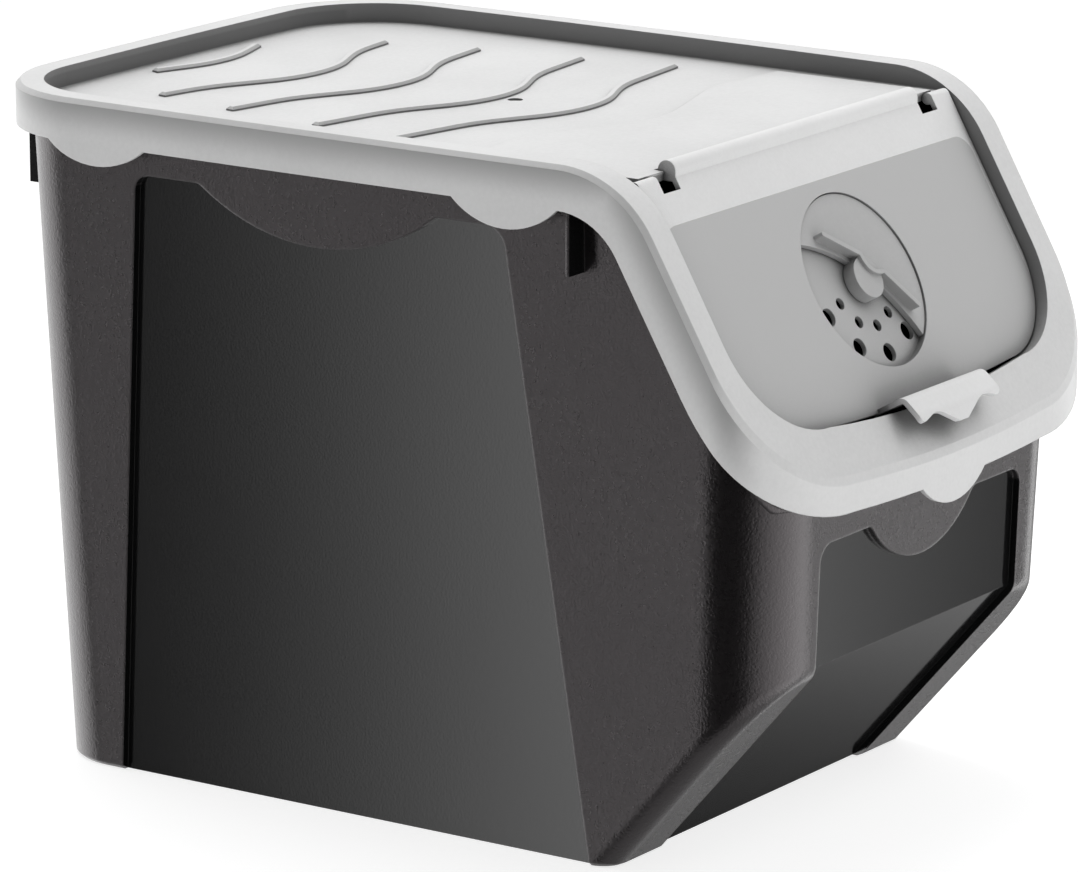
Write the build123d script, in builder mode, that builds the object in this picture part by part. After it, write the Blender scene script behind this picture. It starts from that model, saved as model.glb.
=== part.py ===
"""Potato storage bin: a tapered tub, a clip-on lid that rolls over a sloped front,
a hinged flap in that slope and a turning vent shutter on the flap.

Millimetres, +Z up, front towards -Y. The origin is the middle of the footprint, on the floor.
"""
from build123d import *
from math import cos, radians, sin, tan
import os

os.makedirs("parts", exist_ok=True)

# ---------------------------------------------------------------- tub
overall_height = 290.7
tub_width = 227.2  # across the flat bottom
tub_length = 287.2  # along the flat bottom
tub_wall = 2.4
side_draft = 1.72  # degrees, every wall leans outward going up
back_draft = 2.06
front_draft = 2.18
back_corner = 30.0  # plan radii of the upright corners
front_corner = 34.0
crease_height = 85.3  # where the upright front meets the slanted toe
crease_reach = 73.5  # how far the crease stands ahead of the bottom
toe_round = 10.0  # along the crease and the side edges of the slanted toe
foot_bevel = 1.6  # round the bottom
front_rim_drop = 125.4  # from the lid's top down to the top of the upright front wall

# ---------------------------------------------------------------- sunk panels of the tub
side_panel_depth = 3.5
side_panel_drop = 20.2  # below the flange
side_panel_front = (10.3, 47.0)  # from the bottom front edge: at the floor, at the panel's top
side_panel_back = (40.2, 57.9)  # from the bottom back edge
side_panel_corners = (10.0, 7.0)  # front and back radii
side_scoop_place = 138.0  # its middle, from the bottom front edge
side_scoop_width = 118.0
side_scoop_depth = 19.8
front_panel_depth = 3.0
front_panel_width = 156.0
front_panel_drop = 27.3  # below the front wall's top
front_panel_corner = 8.0
front_scoop_width = 80.0
front_scoop_depth = 20.0
scoop_round = 5.0

# ---------------------------------------------------------------- tub flange and its gussets
flange_thickness = 2.4
front_flange_drop = 3.3  # the flange across the front sits below the wall's top
gusset_thickness = 1.7
side_gusset_place = 9.0  # from the bottom front edge
side_gusset_depth = 33.7
back_gusset_place = 97.0  # from the middle
back_gusset_depth = 35.7

# ---------------------------------------------------------------- lid
lid_wall = 2.2
seat_gap = 0.3  # between parts that rest on each other
rim_clearance = 0.8  # between the tub's flange and the inside of the skirt
lid_overhang = 11.8
side_bow = 1.6
back_bow = 2.2
front_bow = 1.6
lid_back_corner = 57.0
slope_angle = 60.0
bend_radius = 50.0
slope_corner = 59.0  # corner radius, measured in the sloped face
skirt_depth = 18.1
front_skirt_depth = 12.6
skirt_knee = 38.0  # where the skirt's edge leaves the slope, behind the lid's front edge
skirt_knee_radius = 120.0
edge_bevel = 2.0  # where the roof turns down into the skirt
deck_rim_width = 12.0  # the raised rim round the deck
slope_rim_width = 15.2  # and beside the flap
deck_well_corner = 45.0
deck_depth = 8.5
plateau_step = 1.5
well_corner = 43.0
well_front_width = 21.0
well_front_bow = 4.4
ledge_width = 6.0
ledge_wall = 1.7

# ---------------------------------------------------------------- grip tongues on the skirt
tongue_width = 50.0
side_tongue_places = (37.0, 240.0)  # from the bottom front edge
side_tongue_depths = (10.2, 8.7)
end_tongue_width = 48.0
front_tongue_depth = 9.5
back_tongue_depth = 8.7

# ---------------------------------------------------------------- wave beads on the deck
bead_width = 4.2
bead_height = 1.8
bead_slant = 1.1  # of its upper edges
# one wave: across, and behind its trough, before its bends are rounded
wave_corners = ((-50.9, 19.8), (0.0, -7.0), (48.5, 14.7))
wave_bends = (80.0, 62.0, 80.0)
wave_end_rise = (0.19, 0.12)  # per millimetre beyond the outer corners
bead_troughs = (89.2, 132.7, 182.8, 226.5)  # from the bottom front edge
bead_half_lengths = (99.0, 91.0, 84.0, 75.0)
back_bead = ((-34.0, 286.0), (0.7, 273.5), (37.5, 285.6))
back_bend = 60.0
gate_place = (2.2, 125.4)  # the mould's gate mark, a round dimple
gate_radius = 3.2
gate_depth = 0.9
plateau_half_width = 111.0
plateau_corners = ((-111.0, 70.5), (-68.8, 75.5), (-5.5, 48.0), (66.6, 70.0), (111.0, 65.0))
plateau_bends = (40.0, 60.0, 50.0)

# ---------------------------------------------------------------- flap
flap_depth = 5.8  # its face below the sloped face of the lid
flap_wall = 2.2
flap_gap = 0.9
flap_foot_gap = 2.6  # under the flap, at the middle
ridge_place = 3.0  # the ridge's middle below the bend, along the slope
ridge_radius = 4.1
ridge_length = 184.0
pivot_place = 6.2  # below the bend, along the slope
pivot_depth = 8.3  # below the lid's sloped face
hinge_gap = 0.5
notch_width = 12.0  # between the ridge and each ear
notch_depth = 9.0  # below the ridge's middle
pin_radius = 1.5
pin_fit = 0.08
lug_wall = 1.7

# ---------------------------------------------------------------- finger tab
tab_width = 62.0
tab_wall = 2.2
tab_rise = 13.8  # its upper edge above the flap's face
tab_round = 4.0
tab_roll = 7.0  # radius of the roll towards the lip
tab_crest = (8.0, 3.4)  # the roll's corner: beyond the flap's edge, and above the tab's upper edge
tab_tip = (15.0, 2.0)  # the middle lobe's end, the same way
# corners of the lip's edge: from the middle, and short of the tip
tab_lobes = ((31.0, 3.6), (17.5, 7.4), (0.0, -1.6))
tab_lobe_rounds = (3.0, 12.0, 9.0, 12.0, 3.0)

# ---------------------------------------------------------------- vent dish and shutter
vent_place = 69.2  # centre below the bend, along the slope
dish_radius = 38.0
dish_sink = 0.6  # below the flap's face, where the dish's own wall begins
dish_depth = 3.0
dish_floor = 2.0
dish_gap = 0.4  # round the shutter
vent_count = 5
vent_pitch = 36.0
outer_vent_circle = 31.0
outer_vent_diameter = 7.9
inner_vent_circle = 19.0
inner_vent_diameter = 5.1
shutter_gap = 0.3
shutter_thickness = 2.5
shutter_turn = -43.0  # the half disc stands turned towards +X from straight up
shutter_apex = 4.0  # its cut edge passes this far beyond the centre
shutter_end = -5.3  # and ends this far before it, at the rim
hub_radius = 9.0
hub_height = 3.2
grip_height = 4.6
grip_width = 2.0
grip_half_length = 29.0
grip_end = 3.2  # of the grip rib above the centre line, at its ends
grip_shoulder = (7.0, 7.0)
grip_dip = 3.6
stud_radius = 3.0
stud_fit = 0.05
stud_head_radius = 4.2
stud_head_height = 1.6

# ================================================================ worked out
quarter = 90.0  # degrees
near = 1.0  # corners are picked out within this distance
side_lean = tan(radians(side_draft))
back_lean = tan(radians(back_draft))
front_lean = tan(radians(front_draft))
slope_cos = cos(radians(slope_angle))
slope_sin = sin(radians(slope_angle))

seat_drop = deck_depth + lid_wall + seat_gap  # the tub's rim below the lid's outer face
flange_top = overall_height - seat_drop

# distances ahead of the bottom's front edge, and behind its back edge
front_rim_height = overall_height - front_rim_drop
front_wall_reach = crease_reach + front_lean * (front_rim_height - crease_height)
lid_reach = front_wall_reach + lid_overhang + front_bow
bend_reach = (
    front_wall_reach
    + seat_drop * slope_sin
    - (front_rim_drop - seat_drop * slope_cos) * slope_cos / slope_sin
)
slope_reach = (lid_reach - bend_reach) / slope_cos  # the sloped face, from the bend to its front edge
well_bottom = slope_reach - well_front_width  # at the middle, along the slope
tab_foot = well_bottom - flap_foot_gap  # the flap's lower edge at the middle, along the slope
tab_top = tab_rise - flap_depth
tab_reach = bend_reach + (tab_foot + tab_tip[0]) * slope_cos + (tab_top + tab_tip[1]) * slope_sin
back_reach = back_lean * flange_top + lid_overhang + back_bow

overall_length = tab_reach + tub_length + back_reach
foot_front = tab_reach - overall_length / 2  # y of the bottom's front edge
foot_back = foot_front + tub_length
lid_front = foot_front - lid_reach
lid_back = foot_back + back_reach
bend_y = foot_front - bend_reach

side_x = tub_width / 2 + side_lean * flange_top + lid_overhang
lid_width = 2 * (side_x + side_bow)
corner_x = side_x - slope_corner
corner_y = lid_front + front_bow + slope_corner * slope_cos
front_edge_height = overall_height - slope_reach * slope_sin

deck_floor = overall_height - deck_depth
plateau_top = deck_floor + plateau_step
well_x = side_x - slope_rim_width

ridge_y = bend_y - ridge_place * slope_cos + pivot_depth * slope_sin
ridge_z = overall_height - ridge_place * slope_sin - pivot_depth * slope_cos
pivot_y = bend_y - pivot_place * slope_cos + pivot_depth * slope_sin
pivot_z = overall_height - pivot_place * slope_sin - pivot_depth * slope_cos
ridge_sweep = pivot_place - ridge_place + ridge_radius + hinge_gap
ear_radius = pivot_depth - flap_depth
deck_front = pivot_y + ear_radius
notch_x = ridge_length / 2 + notch_width / 2
ear_x = ridge_length / 2 + notch_width
ear_end = well_x - flap_gap
dish_face = flap_depth + dish_sink + dish_depth
ledge_top = flap_depth + flap_wall + seat_gap

# Planes of the sloped front. Local x is across; local y climbs the slope, so places along it are
# negative; the plane's normal points outward.
slope = Plane(origin=(0, bend_y, overall_height), x_dir=(1, 0, 0), z_dir=(0, -slope_sin, slope_cos))
# Side views are drawn left of everything and extruded right across.
span = 2 * lid_width
side_view = Plane.YZ.offset(-span / 2)
# The same slope seen from the side: local x climbs the slope, local y is outward.
slope_side = Plane(origin=(0, bend_y, overall_height), x_dir=(0, slope_cos, slope_sin), z_dir=(1, 0, 0))
ridge_line = Plane(origin=(0, ridge_y, ridge_z), x_dir=(0, 1, 0), z_dir=(1, 0, 0))
pivot_line = Plane(origin=(0, pivot_y, pivot_z), x_dir=(0, 1, 0), z_dir=(1, 0, 0))


def half_width_at(z):
    """Outer half width of the tub's walls at a height."""
    return tub_width / 2 + side_lean * z


def back_at(z):
    return foot_back + back_lean * z


def front_at(z):
    return foot_front - crease_reach - front_lean * (z - crease_height)


def tub_form(inset):
    """The tub's solid outline, drawn in by `inset` all round: a side view met by a front view."""
    top = overall_height + inset
    with BuildPart() as form:
        with BuildSketch(side_view):
            with BuildLine():
                Polyline(
                    (foot_front, 0), (front_at(crease_height), crease_height), (front_at(top), top),
                    (back_at(top), top), (foot_back, 0), close=True,
                )
            make_face()
            if inset:
                offset(amount=-inset, kind=Kind.INTERSECTION)
        extrude(amount=span)
        with BuildSketch(Plane.XZ.offset(-overall_length)):
            with BuildLine():
                Polyline(
                    (-half_width_at(0), 0), (half_width_at(0), 0), (half_width_at(top), top),
                    (-half_width_at(top), top), close=True,
                )
            make_face()
            if inset:
                offset(amount=-inset, kind=Kind.INTERSECTION)
        extrude(amount=2 * overall_length, mode=Mode.INTERSECT)
        upright = form.edges().filter_by(lambda edge: abs((edge % 0).Z) > slope_sin)
        fillet(upright.filter_by_position(Axis.Y, lid_front, foot_front), front_corner - inset)
        upright = form.edges().filter_by(lambda edge: abs((edge % 0).Z) > slope_sin)
        fillet(upright.group_by(Axis.Y)[-1], back_corner - inset)
        toe_face = form.faces().sort_by(Axis((0, foot_front, 0), (0, -crease_height, -crease_reach)))[-1]
        fillet(toe_face.edges().sort_by(Axis.Z)[1:], toe_round - inset)
        if not inset:
            bottom = form.faces().sort_by(Axis.Z)[0]
            chamfer(bottom.edges(), foot_bevel)
    return form.part


def rim_profile(drop):
    """Side view of everything under the tub's rim, the rim lowered by `drop`."""
    top = flange_top - drop
    inset = seat_drop + drop
    front_top = front_rim_height - front_flange_drop - drop
    bend = bend_y + inset * tan(radians(slope_angle / 2))
    knee = bend - (top - front_top) * slope_cos / slope_sin
    with BuildSketch(side_view) as profile:
        with BuildLine():
            rim = FilletPolyline(
                (lid_back, top), (bend, top), (knee, front_top), (lid_front, front_top),
                radius=(bend_radius - inset, flange_thickness),
            )
            Polyline(rim @ 1, (lid_front, -1), (lid_back, -1), rim @ 0)
        make_face()
    return profile.sketch


def lid_profile(drop):
    """Side view of everything under the lid's outer face lowered by `drop`."""
    top = overall_height - drop
    bend = bend_y + drop * tan(radians(slope_angle / 2))
    foot = bend - (top + 1) * slope_cos / slope_sin
    with BuildSketch(side_view) as profile:
        with BuildLine():
            roof = FilletPolyline((lid_back, top), (bend, top), (foot, -1), radius=bend_radius - drop)
            Polyline(roof @ 1, (lid_back, -1), roof @ 0)
        make_face()
    return profile.sketch


def lid_plan(inset):
    """The lid's outline from above, drawn in by `inset`."""
    side = side_x - inset
    back = lid_back - inset
    front = lid_front + inset
    corner = slope_corner - inset
    with BuildSketch() as plan:
        with BuildLine():
            right = EllipticalCenterArc(
                (corner_x, corner_y), corner, corner * slope_cos, start_angle=-quarter, arc_size=quarter
            )
            left = EllipticalCenterArc(
                (-corner_x, corner_y), corner, corner * slope_cos, start_angle=2 * quarter, arc_size=quarter
            )
            ThreePointArc(left @ 1, (0, front), right @ 0)
            ThreePointArc(right @ 1, (side + side_bow, 0), (side, back - back_bow))
            ThreePointArc((side, back - back_bow), (0, back), (-side, back - back_bow))
            ThreePointArc((-side, back - back_bow), (-side - side_bow, 0), left @ 0)
        make_face()
        fillet(plan.vertices().group_by(Axis.Y)[-1], lid_back_corner - inset)
    return plan.sketch


def lid_form(inset):
    """Solid block under the lid's outer face, drawn in by `inset` all round."""
    with BuildPart() as form:
        extrude(lid_plan(inset), amount=overall_height, dir=(0, 0, 1))
        extrude(lid_profile(inset), amount=span, dir=(1, 0, 0), mode=Mode.INTERSECT)
        if not inset:
            lowest = front_edge_height - edge_bevel
            roof_edges = form.edges().filter_by_position(Axis.Z, lowest, overall_height)
            chamfer(roof_edges.filter_by(GeomType.LINE, reverse=True), edge_bevel)
    return form.part


def well_outline(inset, foot_inset, top, depth, bow=well_front_bow):
    """Outline of the flap's well in the slope, drawn in at its sides and foot, reaching up to `top`."""
    half = well_x - inset
    corner = well_corner - inset
    shoulder = well_front_bow + foot_inset - well_bottom
    bottom = shoulder - bow
    with BuildSketch(slope.offset(-depth)) as outline:
        with BuildLine():
            left = CenterArc((-half + corner, shoulder + corner), corner, 2 * quarter, quarter)
            right = CenterArc((half - corner, shoulder + corner), corner, 3 * quarter, quarter)
            ThreePointArc(left @ 1, (0, bottom), right @ 0)
            Polyline(right @ 1, (half, -top), (-half, -top), left @ 0)
        make_face()
    return outline.sketch


def deck_outline(inset, level, front):
    """Outline of the sunk deck at the height `level`, drawn in by `inset`, from the line `front` back."""
    side = side_x - deck_rim_width - inset
    back = lid_back - deck_rim_width - inset
    with BuildSketch(Plane.XY.offset(level)) as outline:
        with BuildLine():
            Line((-well_x + inset, front), (well_x - inset, front))
            ThreePointArc((well_x - inset, front), (side + side_bow, 0), (side, back - back_bow))
            ThreePointArc((side, back - back_bow), (0, back), (-side, back - back_bow))
            ThreePointArc((-side, back - back_bow), (-side - side_bow, 0), (-well_x + inset, front))
        make_face()
        fillet(outline.vertices().group_by(Axis.Y)[-1], deck_well_corner - inset)
    return outline.sketch


def tongue(plane, width, depth, place, level):
    """A hanging tongue with a round lower edge, its top at the height `level` on an upright plane."""
    with BuildSketch(plane) as outline:
        with BuildLine():
            edge = ThreePointArc(
                (place - width / 2, level), (place, level - depth), (place + width / 2, level)
            )
            Polyline(
                edge @ 1, (place + width / 2, level + depth), (place - width / 2, level + depth), edge @ 0
            )
        make_face()
    return outline.sketch


def side_panel(grow):
    """Slabs that sink the panels into both side walls, grown all round by `grow`."""
    top = flange_top - side_panel_drop
    scoop_radius = (side_scoop_width**2 / 4 + side_scoop_depth**2) / (2 * side_scoop_depth)
    scoop_y = foot_front + side_scoop_place
    with BuildPart() as slabs:
        with BuildSketch(side_view) as outline:
            with BuildLine():
                Polyline(
                    (foot_front + side_panel_front[0], 0),
                    (foot_front + side_panel_front[1], top),
                    (foot_back - side_panel_back[1], top),
                    (foot_back - side_panel_back[0], 0),
                    close=True,
                )
            make_face()
            upper = outline.vertices().group_by(Axis.Y)[-1].sort_by(Axis.X)
            fillet(upper[0], side_panel_corners[0])
            upper = outline.vertices().group_by(Axis.Y)[-1].sort_by(Axis.X)
            fillet(upper[-1], side_panel_corners[1])
            with Locations((scoop_y, top - side_scoop_depth + scoop_radius)):
                Circle(scoop_radius, mode=Mode.SUBTRACT)
            ends = outline.vertices().sort_by_distance((scoop_y, top))
            fillet([v for v in ends if abs(abs(v.X - scoop_y) - side_scoop_width / 2) < near], scoop_round)
            if grow:
                offset(amount=grow)
        extrude(amount=span)
        with BuildSketch(Plane.XZ.offset(-overall_length)) as core:
            with BuildLine():
                low = half_width_at(-side_panel_drop) - side_panel_depth - grow
                high = half_width_at(overall_height) - side_panel_depth - grow
                Polyline(
                    (-low, -side_panel_drop), (low, -side_panel_drop), (high, overall_height),
                    (-high, overall_height), close=True,
                )
            make_face()
        extrude(amount=2 * overall_length, mode=Mode.SUBTRACT)
    return slabs.part


def front_panel(grow):
    """The slab that sinks the panel into the front wall and the slanted toe, grown by `grow`."""
    scoop_radius = (front_scoop_width**2 / 4 + front_scoop_depth**2) / (2 * front_scoop_depth)
    top = front_rim_height - front_panel_drop
    below = foot_front + crease_reach, -crease_height
    with BuildPart() as slab:
        with BuildSketch(Plane.XZ) as outline:
            with Locations((0, top / 2 - tub_wall)):
                Rectangle(front_panel_width, top + 2 * tub_wall)
            fillet(outline.vertices().group_by(Axis.Y)[-1], front_panel_corner)
            with Locations((0, top - front_scoop_depth + scoop_radius)):
                Circle(scoop_radius, mode=Mode.SUBTRACT)
            ends = outline.vertices()
            fillet([v for v in ends if abs(abs(v.X) - front_scoop_width / 2) < near], scoop_round)
            if grow:
                offset(amount=grow)
        extrude(amount=overall_length)
        with BuildSketch(side_view):
            with BuildLine():
                Polyline(
                    below,
                    (foot_front - crease_reach, crease_height),
                    (front_at(overall_height), overall_height),
                    (foot_back, overall_height),
                    (foot_back, -crease_height),
                    close=True,
                )
            make_face()
            offset(amount=-front_panel_depth - grow, kind=Kind.INTERSECTION)
        extrude(amount=span, mode=Mode.SUBTRACT)
    return slab.part


def bead(points, bends):
    """A ridge with slanted flanks on the deck, along a line of rounded bends."""
    with BuildPart() as ridge:
        with BuildSketch(Plane.XY.offset(deck_floor - bead_height)):
            with BuildLine():
                FilletPolyline(*points, radius=bends)
            trace(line_width=bead_width)
        extrude(amount=2 * bead_height)
        chamfer(ridge.faces().sort_by(Axis.Z)[-1].edges(), bead_slant)
    return ridge.part


def wave(trough, half_length):
    """A wave's corner points, its ends carried on to the half length."""
    first, last = wave_corners[0], wave_corners[-1]
    left_end = (-half_length, first[1] + wave_end_rise[0] * (half_length + first[0]))
    right_end = (half_length, last[1] + wave_end_rise[1] * (half_length - last[0]))
    return [(x, trough + y) for x, y in (left_end, *wave_corners, right_end)]


def on_deck(points):
    """Moves points measured from the bottom front edge to their place."""
    return [(x, foot_front + y) for x, y in points]


# ---------------------------------------------------------------- tub
tub_outer = tub_form(0)
tub_inner = tub_form(tub_wall)
side_recess = side_panel(0)
side_pad = side_panel(tub_wall)
front_recess = front_panel(0)
front_pad = front_panel(tub_wall)
rim_region = rim_profile(0)
under_flange = rim_profile(flange_thickness)
flange_plan = lid_plan(lid_wall + rim_clearance)

with BuildPart() as cavity:
    add(tub_inner)
    add(side_pad, mode=Mode.SUBTRACT)
    add(front_pad, mode=Mode.SUBTRACT)

with BuildPart() as flange:
    extrude(rim_region, amount=span, dir=(1, 0, 0))
    extrude(under_flange, amount=span, dir=(1, 0, 0), mode=Mode.SUBTRACT)
    for side in (-1, 1):
        with BuildSketch(Plane.XY.offset(flange_top - side_gusset_depth)):
            with Locations((side * side_x, foot_front + side_gusset_place)):
                Rectangle(2 * (side_x - tub_width / 2), gusset_thickness)
        extrude(amount=side_gusset_depth - flange_thickness / 2)
        with BuildSketch(Plane.XY.offset(flange_top - back_gusset_depth)):
            with Locations((side * back_gusset_place, lid_back)):
                Rectangle(gusset_thickness, 2 * (lid_back - foot_back))
        extrude(amount=back_gusset_depth - flange_thickness / 2)
    extrude(flange_plan, amount=overall_height, dir=(0, 0, 1), mode=Mode.INTERSECT)

with BuildPart() as bin_body:
    add(tub_outer)
    extrude(rim_region, amount=span, dir=(1, 0, 0), mode=Mode.INTERSECT)
    add(flange.part)
    add(side_recess, mode=Mode.SUBTRACT)
    add(front_recess, mode=Mode.SUBTRACT)
    add(cavity.part, mode=Mode.SUBTRACT)
bin_body.part.label = "bin_body"
export_step(bin_body.part, "parts/bin_body.step")

# ---------------------------------------------------------------- lid
lid_outer = lid_form(0)
lid_inner = lid_form(lid_wall)
well_depth = ledge_top + ledge_wall
well_head = -2 * ridge_radius  # the slope's well starts this far above the bend
well_slab = well_outline(-lid_wall, -lid_wall, well_head, well_depth)
well_void = well_outline(ledge_width, 0, 2 * well_head, well_depth)
flap_void = well_outline(0, 0, well_head, ledge_top)
deck_slab = deck_outline(-lid_wall, deck_floor - lid_wall, deck_front)
deck_void = deck_outline(0, deck_floor, pivot_y - ear_radius)
skirt_level = overall_height - skirt_depth
skirt_bend = bend_y + skirt_depth * tan(radians(slope_angle / 2))
knee_y = lid_front + skirt_knee
knee_z = skirt_level - (skirt_bend - knee_y) * slope_sin / slope_cos
front_skirt_level = front_edge_height - front_skirt_depth

with BuildPart() as skirt_reach:
    with BuildSketch(side_view):
        with BuildLine():
            hem = FilletPolyline(
                (lid_back + 1, skirt_level), (skirt_bend, skirt_level),
                (knee_y, knee_z), (lid_front, front_skirt_level),
                radius=(bend_radius - skirt_depth, skirt_knee_radius),
            )
            Polyline(
                hem @ 1, (lid_front - 1, front_skirt_level), (lid_front - 1, overall_height + 1),
                (lid_back + 1, overall_height + 1), hem @ 0,
            )
        make_face()
    extrude(amount=span)
    for place, depth in zip(side_tongue_places, side_tongue_depths):
        side_tongue = tongue(side_view, tongue_width, depth, foot_front + place, skirt_level)
        extrude(side_tongue, amount=span, dir=(1, 0, 0))
    for end_y, depth, level in (
        (lid_front, front_tongue_depth, front_skirt_level),
        (lid_back, back_tongue_depth, skirt_level),
    ):
        end_tongue = tongue(Plane.XZ.offset(-end_y), end_tongue_width, depth, 0, level)
        extrude(end_tongue, amount=lid_overhang / 2, dir=(0, -1, 0), both=True)

with BuildPart() as wells:
    extrude(deck_slab, amount=deck_depth + lid_wall, dir=(0, 0, 1))
    extrude(well_slab, amount=well_depth, dir=slope.z_dir)
    extrude(well_void, amount=well_depth, dir=slope.z_dir, mode=Mode.SUBTRACT)
    # lugs that thicken the well's side walls round the flap's pins
    for lug_x in (-well_x - lid_wall, well_x):
        with BuildSketch(pivot_line.offset(lug_x)):
            Circle(pin_radius + pin_fit + lug_wall)
        extrude(amount=lid_wall)
    add(lid_outer, mode=Mode.INTERSECT)

beads = [bead(on_deck(back_bead), back_bend)]
for trough, half_length in zip(bead_troughs, bead_half_lengths):
    beads.append(bead(on_deck(wave(trough, half_length)), wave_bends))

with BuildPart() as lid:
    add(lid_outer)
    add(lid_inner, mode=Mode.SUBTRACT)
    add(skirt_reach.part, mode=Mode.INTERSECT)
    add(wells.part)
    extrude(deck_void, amount=2 * deck_depth, dir=(0, 0, 1), mode=Mode.SUBTRACT)
    extrude(flap_void, amount=2 * ledge_top, dir=slope.z_dir, mode=Mode.SUBTRACT)
    # the raised plateau in front of the hinge, with its wavy back edge
    with BuildSketch(Plane.XY.offset(deck_floor - lid_wall)):
        with BuildLine():
            edge = FilletPolyline(*on_deck(plateau_corners), radius=plateau_bends)
            Polyline(edge @ 1, (plateau_half_width, deck_front), (-plateau_half_width, deck_front), edge @ 0)
        make_face()
    extrude(amount=lid_wall + plateau_step)
    # room for the flap's ears and for its ridge as it turns, and the holes for its pins
    for reach, radius in (
        (well_x, ear_radius + hinge_gap),
        (ridge_length / 2 + hinge_gap, ridge_sweep),
        (well_x + 2 * lid_wall, pin_radius + pin_fit),
    ):
        with BuildSketch(pivot_line.offset(-reach)):
            Circle(radius)
        extrude(amount=2 * reach, mode=Mode.SUBTRACT)
    for ridge in beads:
        add(ridge)
    with BuildSketch(Plane.XY.offset(deck_floor)):
        with Locations(on_deck([gate_place])[0]):
            Circle(gate_radius)
    extrude(amount=-gate_depth, mode=Mode.SUBTRACT)
lid.part.label = "lid"
export_step(lid.part, "parts/lid.step")

# ---------------------------------------------------------------- flap
flap_bow = well_front_bow + flap_gap - flap_foot_gap
flap_plate = well_outline(flap_gap, flap_gap, ridge_place, flap_depth + flap_wall, flap_bow)
vent_centre = -vent_place
vent_sweep = vent_pitch * (vent_count - 1)
vent_start = -quarter - vent_sweep / 2
notch_foot = -(ridge_place + notch_depth)
tab_root = tab_wall - tab_foot
tab_rim = -tab_foot - tab_tip[0]

# the finger tab stands up from the lower edge and rolls over into a lip with two finger scallops
with BuildPart() as tab:
    with BuildSketch(slope_side.offset(-tab_width / 2)):
        with BuildLine():
            FilletPolyline(
                (tab_root, -flap_depth - flap_wall), (tab_root, tab_top),
                (-tab_foot - tab_crest[0], tab_top + tab_crest[1]), (tab_rim, tab_top + tab_tip[1]),
                radius=(tab_round, tab_roll),
            )
            offset(amount=tab_wall, side=Side.LEFT)
        make_face()
    extrude(amount=tab_width)
    with BuildSketch(slope.offset(-flap_depth - flap_wall)):
        with BuildLine():
            right = [(x, tab_rim + y) for x, y in tab_lobes]
            left = [(-x, y) for x, y in reversed(right[:-1])]
            lip = FilletPolyline(
                (tab_width / 2, tab_root), *right, *left, (-tab_width / 2, tab_root), radius=tab_lobe_rounds
            )
            Line(lip @ 1, lip @ 0)
        make_face()
    extrude(amount=2 * tab_rise, mode=Mode.INTERSECT)

with BuildPart() as front_flap:
    extrude(flap_plate, amount=flap_wall, dir=slope.z_dir)
    # a round-backed ridge closes the hinge line; beyond a notch at each end an ear carries a pin
    with BuildSketch(ridge_line.offset(-ridge_length / 2)):
        Circle(ridge_radius)
        with Locations((0, -ridge_radius / 2)):
            Rectangle(2 * ridge_radius, ridge_radius)
    extrude(amount=ridge_length)
    with BuildSketch(slope.offset(-flap_depth - flap_wall - ridge_radius)):
        for side in (-1, 1):
            with Locations((side * notch_x, notch_foot + notch_depth)):
                Rectangle(notch_width, 2 * notch_depth)
            with Locations((side * (well_x + ridge_length / 2) / 2, notch_depth - pivot_place)):
                Rectangle(well_x - ridge_length / 2, 2 * notch_depth)
    extrude(amount=flap_wall + 3 * ridge_radius, mode=Mode.SUBTRACT)
    for start in (-ear_end, ear_x):
        with BuildSketch(pivot_line.offset(start)):
            Circle(ear_radius)
        extrude(amount=ear_end - ear_x)
    for start in (-well_x - lid_wall, ear_end - pin_radius):
        with BuildSketch(pivot_line.offset(start)):
            Circle(pin_radius)
        extrude(amount=well_x + lid_wall - ear_end + pin_radius)
    # the vent dish hangs below the panel as a shallow bowl
    with BuildSketch(slope.offset(-dish_face - dish_floor)):
        with Locations((0, vent_centre)):
            Circle(dish_radius + dish_floor)
    extrude(amount=dish_floor + dish_depth)
    with BuildSketch(slope.offset(-dish_face)):
        with Locations((0, vent_centre)):
            Circle(dish_radius)
    extrude(amount=2 * dish_depth, mode=Mode.SUBTRACT)
    with BuildSketch(slope.offset(-dish_face - dish_floor)):
        for circle, diameter in (
            (outer_vent_circle, outer_vent_diameter),
            (inner_vent_circle, inner_vent_diameter),
        ):
            with Locations((0, vent_centre)):
                with PolarLocations(circle, vent_count, vent_start, vent_sweep, endpoint=True):
                    Circle(diameter / 2)
        with Locations((0, vent_centre)):
            Circle(stud_radius + stud_fit)
    extrude(amount=dish_floor, mode=Mode.SUBTRACT)
    add(tab.part)
front_flap.part.label = "front_flap"
export_step(front_flap.part, "parts/front_flap.step")

# ---------------------------------------------------------------- vent shutter
turn = radians(shutter_turn)
shutter_base = Plane(
    origin=slope.from_local_coords((0, vent_centre, -dish_face + shutter_gap)),
    x_dir=slope.x_dir * cos(turn) + slope.y_dir * sin(turn),
    z_dir=slope.z_dir,
)
shutter_radius = dish_radius - dish_gap
shutter_x = (shutter_radius**2 - shutter_end**2) ** 0.5

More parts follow.
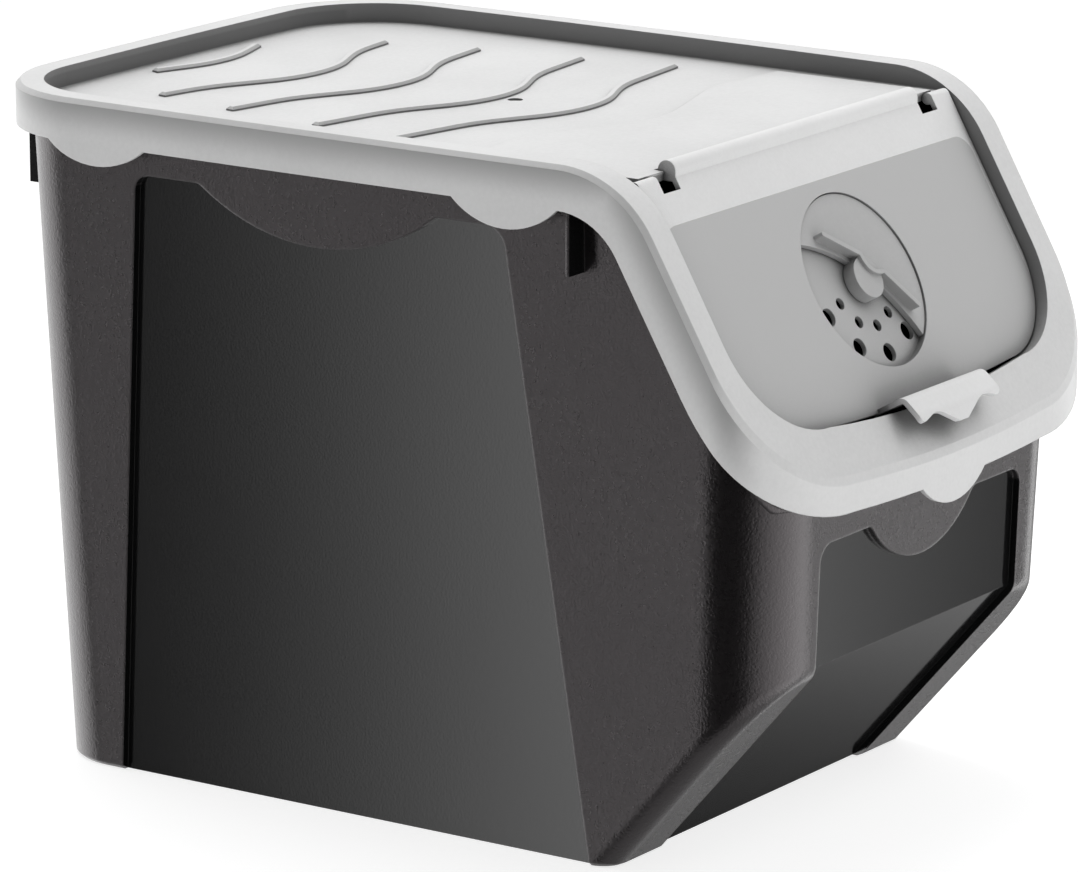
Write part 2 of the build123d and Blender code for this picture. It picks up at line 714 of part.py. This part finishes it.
with BuildPart() as vent_shutter:
    with BuildSketch(shutter_base):
        with BuildLine():
            rim = ThreePointArc((-shutter_x, shutter_end), (0, shutter_radius), (shutter_x, shutter_end))
            ThreePointArc(rim @ 1, (0, shutter_apex), rim @ 0)
        make_face()
    extrude(amount=shutter_thickness)
    with BuildSketch(shutter_base):
        Circle(hub_radius)
    extrude(amount=shutter_thickness + hub_height)
    with BuildSketch(shutter_base.offset(shutter_thickness / 2)):
        with BuildLine():
            shoulder_x, shoulder_y = grip_shoulder
            Line((-grip_half_length, grip_end), (-shoulder_x, shoulder_y))
            ThreePointArc((-shoulder_x, shoulder_y), (0, grip_dip), (shoulder_x, shoulder_y))
            Line((shoulder_x, shoulder_y), (grip_half_length, grip_end))
        trace(line_width=grip_width)
        with Locations((-grip_half_length, grip_end), (grip_half_length, grip_end)):
            Circle(grip_width / 2)
    extrude(amount=shutter_thickness / 2 + grip_height)
    # the snap stud goes through the dish and spreads behind it
    stud_length = shutter_gap + dish_floor + shutter_gap
    with BuildSketch(shutter_base):
        Circle(stud_radius)
    extrude(amount=-stud_length)
    with BuildSketch(shutter_base.offset(-stud_length)):
        Circle(stud_head_radius)
    with BuildSketch(shutter_base.offset(-stud_length - stud_head_height)):
        Circle(stud_radius)
    loft()
vent_shutter.part.label = "vent_shutter"
export_step(vent_shutter.part, "parts/vent_shutter.step")
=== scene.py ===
from math import cos, pi, radians, sin, tan

import bpy
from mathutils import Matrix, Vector

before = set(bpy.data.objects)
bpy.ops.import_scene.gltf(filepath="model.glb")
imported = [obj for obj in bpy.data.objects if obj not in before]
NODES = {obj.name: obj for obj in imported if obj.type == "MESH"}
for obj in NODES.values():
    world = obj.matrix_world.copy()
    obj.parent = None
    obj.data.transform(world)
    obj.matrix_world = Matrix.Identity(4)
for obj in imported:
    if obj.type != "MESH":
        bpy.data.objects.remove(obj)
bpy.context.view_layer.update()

SCENE = bpy.context.scene

# ------------------------------------------------------------------ the object's own sizes, metres
# the tub
FOOT_FRONT = Vector((0.0, -0.10848, 0.0))  # the bottom's front edge
HALF_FOOT = 0.1136
SIDE_LEAN = tan(radians(1.72))
FRONT_LEAN = tan(radians(2.18))
CREASE_REACH = 0.0735  # the front's crease, ahead of the bottom's front edge
CREASE_HEIGHT = 0.0853
TOE = Vector((0.0, CREASE_HEIGHT, CREASE_REACH)).normalized()  # into the slanted lower front
PANEL_SKIN = 0.0018  # a face this far inside the outer wall is a sunk panel or the inside
ALONG_WALL = 0.95  # and it faces as that wall does

# the lid and its flap
BEND = Vector((0.0, -0.12532, 0.2907))  # where the lid's top bends down into its slope
SLOPE_ANGLE = radians(60.0)
SLOPE = Vector((0.0, -sin(SLOPE_ANGLE), cos(SLOPE_ANGLE)))
SLOPE_DOWN = Vector((0.0, -cos(SLOPE_ANGLE), -sin(SLOPE_ANGLE)))
RIM_SIDE = (0.0005, 0.0165)  # below the rim's top: the upper part of its side, painted darker as shade
PANEL_TOP = 0.025  # the flap's duller panel starts this far down the slope
PANEL_HALF = 0.1155
PANEL_ROUND = 0.009
PANEL_EDGE = 0.0004
PANEL_STEP = 0.0005
FLAP_FACE = (0.0046, 0.0052)  # the flap's face begins this far below the slope's surface
INNER_WALLS = (0.185, 0.235)  # heights over which the walls round the well take painted shade
INWARD = (0.004, 0.03)  # how far ahead of a wall the lid's middle lies, where it looks inwards
BEAD_TOPS = (0.0020, 0.0032)  # the deck's beads, below the lid's top
BEAD_FEET = (0.0090, 0.0110)
BEADS_HALF = (0.106, 0.108)  # half the width of the deck that carries them
BEADS_FRONT = (-0.105, -0.100)  # and its front

# parts of a unit normal's axis, from one kind of face to the next
SIDEWAYS = (0.55, 0.95)
UPRIGHT = (0.35, 0.75)
FORWARD = (-0.60, -0.10)
WALL_TO_SLANT = (0.45, 0.65)
SLANT_TO_TOP = (0.80, 0.95)

SIDE_RAYS = 6  # of each edge and crevice lookup
PATCHES = (0.3, 0.7)  # the part of a noise over which its two tones blend


# ------------------------------------------------------------------ node helpers
class Graph:
    """A short way to write nodes into a tree."""

    def __init__(self, tree):
        self.tree = tree

    def node(self, kind, **settings):
        made = self.tree.nodes.new(kind)
        for name, value in settings.items():
            setattr(made, name, value)
        return made

    def put(self, value, socket):
        """A link if value is a socket, a constant if not."""
        if isinstance(value, bpy.types.NodeSocket):
            self.tree.links.new(value, socket)
        else:
            socket.default_value = value

    def math(self, operation, first, second=0.0, third=0.0):
        made = self.node("ShaderNodeMath", operation=operation)
        for socket, value in zip(made.inputs, (first, second, third)):
            self.put(value, socket)
        return made.outputs[0]

    def product(self, first, *others):
        for other in others:
            first = self.math("MULTIPLY", first, other)
        return first

    def weighted(self, first, first_share, second, second_share):
        return self.math("ADD", self.product(first, first_share), self.product(second, second_share))

    def dot(self, vector, along):
        made = self.node("ShaderNodeVectorMath", operation="DOT_PRODUCT")
        self.put(vector, made.inputs[0])
        made.inputs[1].default_value = along
        return made.outputs["Value"]

    def axes(self, vector):
        made = self.node("ShaderNodeSeparateXYZ")
        self.put(vector, made.inputs[0])
        return made.outputs[:]

    def step(self, value, low, high, to_low=0.0, to_high=1.0, kind="SMOOTHSTEP"):
        """to_low below low, to_high above high, smooth between."""
        made = self.node("ShaderNodeMapRange", interpolation_type=kind)
        for socket, number in zip(made.inputs, (value, low, high, to_low, to_high)):
            self.put(number, socket)
        return made.outputs[0]

    def fall(self, value, low, high, to_high=0.0):
        """1 below low, to_high above high."""
        return self.step(value, low, high, 1.0, to_high)

    def mix(self, share, first, second):
        """A colour: first at 0, second at 1."""
        made = self.node("ShaderNodeMix", data_type="RGBA")
        self.put(share, made.inputs["Factor"])
        for value, socket in ((first, made.inputs[6]), (second, made.inputs[7])):
            self.put(value if isinstance(value, bpy.types.NodeSocket) else (*value, 1.0), socket)
        return made.outputs[2]

    def mottled(self, noise, first, second):
        """Two tones in soft patches."""
        return self.mix(self.step(noise, *PATCHES), first, second)

    def noise(self, place, scale, detail, roughness):
        made = self.node("ShaderNodeTexNoise")
        self.put(place, made.inputs["Vector"])
        made.inputs["Scale"].default_value = scale
        made.inputs["Detail"].default_value = detail
        made.inputs["Roughness"].default_value = roughness
        return made.outputs["Fac"]

    def bump(self, height, distance, strength, normal):
        made = self.node("ShaderNodeBump")
        made.inputs["Distance"].default_value = distance
        made.inputs["Strength"].default_value = strength
        self.put(height, made.inputs["Height"])
        self.put(normal, made.inputs["Normal"])
        return made.outputs["Normal"]

    def rounded(self, radius):
        """The normal, turned over sharp edges as if they were this round."""
        made = self.node("ShaderNodeBevel", samples=SIDE_RAYS)
        made.inputs["Radius"].default_value = radius
        return made.outputs["Normal"]

    def openness(self, reach, low, high):
        """1 on open surfaces, falling to 0 in corners and grooves, where little light gets in."""
        made = self.node("ShaderNodeAmbientOcclusion", samples=SIDE_RAYS)
        made.inputs["Distance"].default_value = reach
        return self.step(made.outputs["AO"], low, high)


class Surface(Graph):
    """A new material with one Principled shader."""

    def __init__(self, name):
        self.material = bpy.data.materials.new(name)
        self.material.use_nodes = True
        super().__init__(self.material.node_tree)
        self.tree.nodes.clear()
        output = self.node("ShaderNodeOutputMaterial")
        self.shader = self.node("ShaderNodeBsdfPrincipled")
        self.put(self.shader.outputs["BSDF"], output.inputs["Surface"])

    def set(self, name, value):
        self.put(value, self.shader.inputs[name])

    def place(self):
        return self.node("ShaderNodeTexCoord").outputs["Object"]


def grey(light):
    return (light, light, light)


def dimmed(colour, share):
    return tuple(share * part for part in colour)


def dress(node, *materials, pick=None):
    """Gives a CAD node its material, or for each face the one that pick names."""
    mesh = NODES[node].data
    mesh.materials.clear()
    for material in materials:
        mesh.materials.append(material)
    for face in mesh.polygons:
        face.material_index = pick(face) if pick else 0


# ------------------------------------------------------------------ materials
def tub_finish(face):
    """0 for the grained outside, 1 for the sunk panels and the inside, which are smooth."""
    x, y, z = face.center
    way = face.normal
    front_y = FOOT_FRONT.y - CREASE_REACH - FRONT_LEAN * (z - CREASE_HEIGHT)
    depth = (
        (abs(way.x), HALF_FOOT + SIDE_LEAN * z - abs(x)),
        (-way.y, y - front_y),
        (-way.dot(TOE), (face.center - FOOT_FRONT).dot(TOE)),
    )
    return int(any(facing > ALONG_WALL and inside > PANEL_SKIN for facing, inside in depth))


def tub_grained():
    """Warm black polypropylene with a fine moulded-in leather grain."""
    g = Surface("tub_grained")
    place = g.place()
    grain = g.noise(place, scale=950.0, detail=2.0, roughness=0.6)
    pebble = g.noise(place, scale=480.0, detail=3.0, roughness=0.6)
    cloud = g.noise(place, scale=16.0, detail=4.0, roughness=0.6)
    warm = g.mottled(cloud, (0.0080, 0.0072, 0.0074), (0.0112, 0.0101, 0.0104))
    speckled = g.mix(g.step(pebble, 0.35, 0.75), (0.007, 0.006, 0.0064), warm)
    # painted shade: the base colour darkens in corners and grooves, where little light gets in
    open_share = g.openness(0.012, 0.15, 0.85)
    g.set("Base Color", g.mix(open_share, (0.004, 0.0036, 0.0038), speckled))
    satin = g.math("MULTIPLY_ADD", cloud, 0.05, 0.22)
    g.set("Roughness", g.math("MULTIPLY_ADD", pebble, 0.08, satin))
    relief = g.weighted(grain, 0.7, pebble, 0.5)
    g.set("Normal", g.bump(relief, distance=0.00045, strength=0.48, normal=g.rounded(0.0016)))
    g.set("Specular Tint", (1.0, 0.93, 0.955, 1.0))
    return g.material


def tub_gloss():
    """The same black plastic off a polished mould, with faint flow patches and dust."""
    g = Surface("tub_gloss")
    place = g.place()
    cloud = g.noise(place, scale=9.0, detail=3.0, roughness=0.5)
    dust = g.noise(place, scale=1100.0, detail=2.0, roughness=0.6)
    tone = g.mottled(cloud, (0.0050, 0.0050, 0.0052), (0.0070, 0.0070, 0.0072))
    # painted shade: the base colour darkens in corners and grooves, where little light gets in
    g.set("Base Color", g.mix(g.openness(0.010, 0.15, 0.9), grey(0.003), tone))
    g.set("Roughness", g.math("MULTIPLY_ADD", dust, 0.05, 0.075))
    g.set("Normal", g.bump(dust, distance=0.00008, strength=0.10, normal=g.rounded(0.00015)))
    return g.material


def panel_share(g, spot, across, slope_drop):
    """1 inside the flap's round-cornered panel and its dish, 0 on the band, the ridge and the tab."""
    down = g.math("SUBTRACT", g.dot(spot, SLOPE_DOWN), SLOPE_DOWN.dot(BEND))
    past_side = g.math("SUBTRACT", g.math("ABSOLUTE", across), PANEL_HALF - PANEL_ROUND)
    past_top = g.math("SUBTRACT", PANEL_TOP + PANEL_ROUND, down)
    corner = g.node("ShaderNodeCombineXYZ")
    g.put(g.math("MAXIMUM", past_side, 0.0), corner.inputs[0])
    g.put(g.math("MAXIMUM", past_top, 0.0), corner.inputs[1])
    reach = g.node("ShaderNodeVectorMath", operation="LENGTH")
    g.put(corner.outputs[0], reach.inputs[0])
    inside = g.math("SUBTRACT", PANEL_ROUND, reach.outputs["Value"])
    return g.product(g.step(inside, 0.0, PANEL_EDGE), g.step(slope_drop, *FLAP_FACE))


def inner_walls(g, place, normal):
    """1 on the upright walls that look inwards, round the sunk deck and the well's upper half: where
    the lid's colour gets painted shade.
    """
    (x, y, z), (nx, ny, nz) = place, normal
    inward = g.product(g.math("ADD", g.product(nx, x), g.product(ny, y)), -1.0)
    upright = g.fall(g.math("ABSOLUTE", nz), *UPRIGHT)
    return g.product(g.step(inward, *INWARD), upright, g.step(z, *INNER_WALLS))


def bead_flanks(g, place, normal, drop):
    """1 on the front walls of the deck's beads, about half of that on their slanted edges: where the
    lid's colour gets painted shade.
    """
    (x, y, _), (_, ny, nz) = place, normal
    steep = g.product(g.fall(nz, *WALL_TO_SLANT, to_high=0.45), g.fall(nz, *SLANT_TO_TOP))
    on_deck = g.product(g.step(drop, *BEAD_TOPS), g.fall(drop, *BEAD_FEET))
    within = g.product(g.fall(g.math("ABSOLUTE", x), *BEADS_HALF), g.step(y, *BEADS_FRONT))
    return g.product(g.fall(ny, *FORWARD), steep, on_deck, within)


def pale_plastic(name, low, high, roughness, relief_depth,
                 rim_shade=1.0, wall_shade=None, flank_shade=0.24, crevice_shade=0.22, panel=None):
    """Pale satin polypropylene: faint grain and soft mottling, with painted shade in its colour.

    The shares of low give the painted shade: on the upper part of the rim's side, on the inner walls
    and the beads' front flanks (only where the walls' share is given) and in the corners.
    panel is the colour of the flap's panel.
    """
    g = Surface(name)
    spot = g.place()
    place = g.axes(spot)
    normal = g.axes(g.node("ShaderNodeNewGeometry").outputs["Normal"])
    cloud = g.noise(spot, scale=11.0, detail=5.0, roughness=0.62)
    speck = g.noise(spot, scale=520.0, detail=2.0, roughness=0.5)
    grain = g.noise(spot, scale=1500.0, detail=2.0, roughness=0.5)
    tone = g.mottled(g.weighted(cloud, 0.7, speck, 0.3), low, high)
    drop = g.math("SUBTRACT", BEND.z, place[2])
    slope_drop = g.math("SUBTRACT", SLOPE.dot(BEND), g.dot(spot, SLOPE))
    if panel:
        sunk = panel_share(g, spot, place[0], slope_drop)
        tone = g.mix(sunk, tone, panel)
    # painted shade: faces that look sideways are darker near the rim's top, fading out further down
    below_rim = g.step(g.math("MINIMUM", drop, slope_drop), *RIM_SIDE)
    sideways = g.step(g.math("ABSOLUTE", normal[0]), *SIDEWAYS)
    painted_rim_shade = g.product(sideways, g.math("SUBTRACT", 1.0, below_rim))
    tone = g.mix(painted_rim_shade, tone, dimmed(low, rim_shade))
    # painted shade on the walls that look inwards and on the beads' front flanks
    if wall_shade:
        tone = g.mix(inner_walls(g, place, normal), tone, dimmed(low, wall_shade))
        tone = g.mix(bead_flanks(g, place, normal, drop), tone, dimmed(low, flank_shade))
    # painted shade: the colour darkens in corners and grooves, where little light gets in
    g.set("Base Color", g.mix(g.openness(0.028, 0.45, 0.98), dimmed(low, crevice_shade), tone))
    g.set("Roughness", g.math("MULTIPLY_ADD", cloud, 0.12, roughness - 0.06))
    relief = g.weighted(grain, 0.5, speck, 0.5)
    surface = g.bump(relief, relief_depth, strength=0.35, normal=g.rounded(0.0006))
    if panel:
        surface = g.bump(g.math("SUBTRACT", 1.0, sunk), PANEL_STEP, strength=0.6, normal=surface)
    g.set("Normal", surface)
    return g.material


# the lid's shares of painted shade: its rim's side, its inner walls, its beads' flanks and its
# corners
lid_plastic = pale_plastic(
    "lid_plastic", grey(0.63), grey(0.70), roughness=0.46, relief_depth=0.00012,
    rim_shade=0.55, wall_shade=0.45,
)
flap_plastic = pale_plastic(
    "flap_plastic", grey(0.74), grey(0.79), roughness=0.42, relief_depth=0.00008,
    panel=grey(0.49),
)
# the shutter's corners get a lighter painted shade
shutter_plastic = pale_plastic(
    "shutter_plastic", grey(0.44), grey(0.48), roughness=0.42, relief_depth=0.00006,
    crevice_shade=0.75,
)
dress("bin_body", tub_grained(), tub_gloss(), pick=tub_finish)
dress("lid", lid_plastic)
dress("front_flap", flap_plastic)
dress("vent_shutter", shutter_plastic)

# ------------------------------------------------------------------ floor
bpy.ops.mesh.primitive_plane_add(size=12.0)
floor = bpy.context.object
floor.name = "studio_floor"
paper = Surface("studio_paper")
paper.set("Base Color", (*grey(0.50), 1.0))
paper.set("Roughness", 0.9)
paper.set("Specular IOR Level", 0.0)
paper.set("Emission Color", (*grey(1.0), 1.0))
paper.set("Emission Strength", 0.78)
floor.data.materials.append(paper.material)
floor.visible_glossy = False

# ------------------------------------------------------------------ light
# What the glossy faces mirror: soft boxes and dark flags, by compass degrees from the -X side (0)
# towards the front (90). Each is (degrees, share of BOX_STRENGTH), and they blend into each other.
BOX_STRENGTH = 6.0
LOW_BOXES = (
    (-180, 0.48), (-176, 0.20), (-172, 0.15),
    (-168.6, 0.10), (-167.0, 0.07), (-166.0, 0.008), (-163.5, 0.0),  # the slanted lower front
    (-152, 0.0), (-140, 0.22), (-76, 0.50), (-58, 0.30), (-50, 0.02),
    (-38.6, 0.0), (-38.0, 0.02), (-36.2, 0.17), (-34.5, 0.40),  # the side panel
    (-32, 0.60), (-29, 0.60), (-26, 0.60), (-23, 0.0), (40, 0.0),
    (60, 0.26), (96, 0.52), (128, 0.66), (146, 0.36),  # the rounded front corner
    (148.6, 0.20), (149.3, 0.16), (151.5, 0.0),  # the front panel
    (160, 0.0), (167, 0.36), (179, 0.40),
)
HIGH_BOXES = ((-180, 0.12), (-100, 0.12), (-50, 0.05), (60, 0.02), (110, 0.06), (179, 0.12))
DEEP_BOXES = ((-180, 0.12), (-122, 0.12), (-104, 0.20), (-56, 0.20), (-44, 0.12), (179, 0.12))
HORIZON = (-0.06, 0.06)  # sines of elevation: the low boxes below, the high ones above
DEEP = (-0.76, -0.60)  # and the deep ones below this


def boxes(g, share, stops):
    """A colour ramp with a stop for each box."""
    made = g.node("ShaderNodeValToRGB")
    g.put(share, made.inputs[0])
    ramp = made.color_ramp.elements
    ramp.remove(ramp[1])
    for number, (degrees, light) in enumerate(stops):
        place = (degrees + 180.0) / 360.0
        stop = ramp.new(place) if number else ramp[0]
        stop.position = place
        stop.color = (*grey(light), 1.0)
    return made.outputs[0]


def studio_air():
    """The world that holds the boxes."""
    world = bpy.data.worlds.new("studio_air")
    world.use_nodes = True
    g = Graph(world.node_tree)
    x, y, height = g.axes(g.node("ShaderNodeTexCoord").outputs["Generated"])
    compass = g.math("ARCTAN2", g.product(y, -1.0), g.product(x, -1.0))
    share = g.step(compass, -pi, pi, kind="LINEAR")
    light = g.mix(g.step(height, *HORIZON), boxes(g, share, LOW_BOXES), boxes(g, share, HIGH_BOXES))
    light = g.mix(g.fall(height, *DEEP), light, boxes(g, share, DEEP_BOXES))
    background = g.tree.nodes["Background"]
    g.put(light, background.inputs["Color"])
    background.inputs["Strength"].default_value = BOX_STRENGTH
    return world


def soft_light(name, place, target, size, power):
    """A rectangular studio light at place, aimed at target."""
    data = bpy.data.lights.new(name, "AREA")
    data.shape = "RECTANGLE"
    data.size, data.size_y = size
    data.energy = power
    lamp = bpy.data.objects.new(name, data)
    lamp.visible_camera = False
    SCENE.collection.objects.link(lamp)
    lamp.location = place
    lamp.rotation_euler = (Vector(target) - Vector(place)).to_track_quat("-Z", "Y").to_euler()


SCENE.world = studio_air()
SCENE.view_settings.view_transform = "Standard"
soft_light("top_box", (0.12, 0.30, 1.25), target=(0, 0, 0.28), size=(1.0, 1.0), power=9.0)
soft_light("front_box", (0.25, -0.95, 0.13), target=(0, -0.2, 0.16), size=(0.9, 0.2), power=0.5)
soft_light("slope_box", (0.45, -0.9, 1.1), target=(0, -0.16, 0.23), size=(0.6, 0.6), power=3.4)

# ------------------------------------------------------------------ camera, fitted to the photograph
CAMERA_PLACE = (-2.15814, -1.46565, 0.79115)
VIEW_AZIMUTH = -55.764
VIEW_ELEVATION = 13.994
LENS = 213.88
camera_data = bpy.data.cameras.new("camera")
camera_data.sensor_width = 36.0
camera_data.lens = LENS
camera_data.clip_end = 50.0
camera = bpy.data.objects.new("camera", camera_data)
SCENE.collection.objects.link(camera)
camera.location = CAMERA_PLACE
camera.rotation_euler = (radians(90.0 - VIEW_ELEVATION), 0.0, radians(VIEW_AZIMUTH))
SCENE.camera = camera
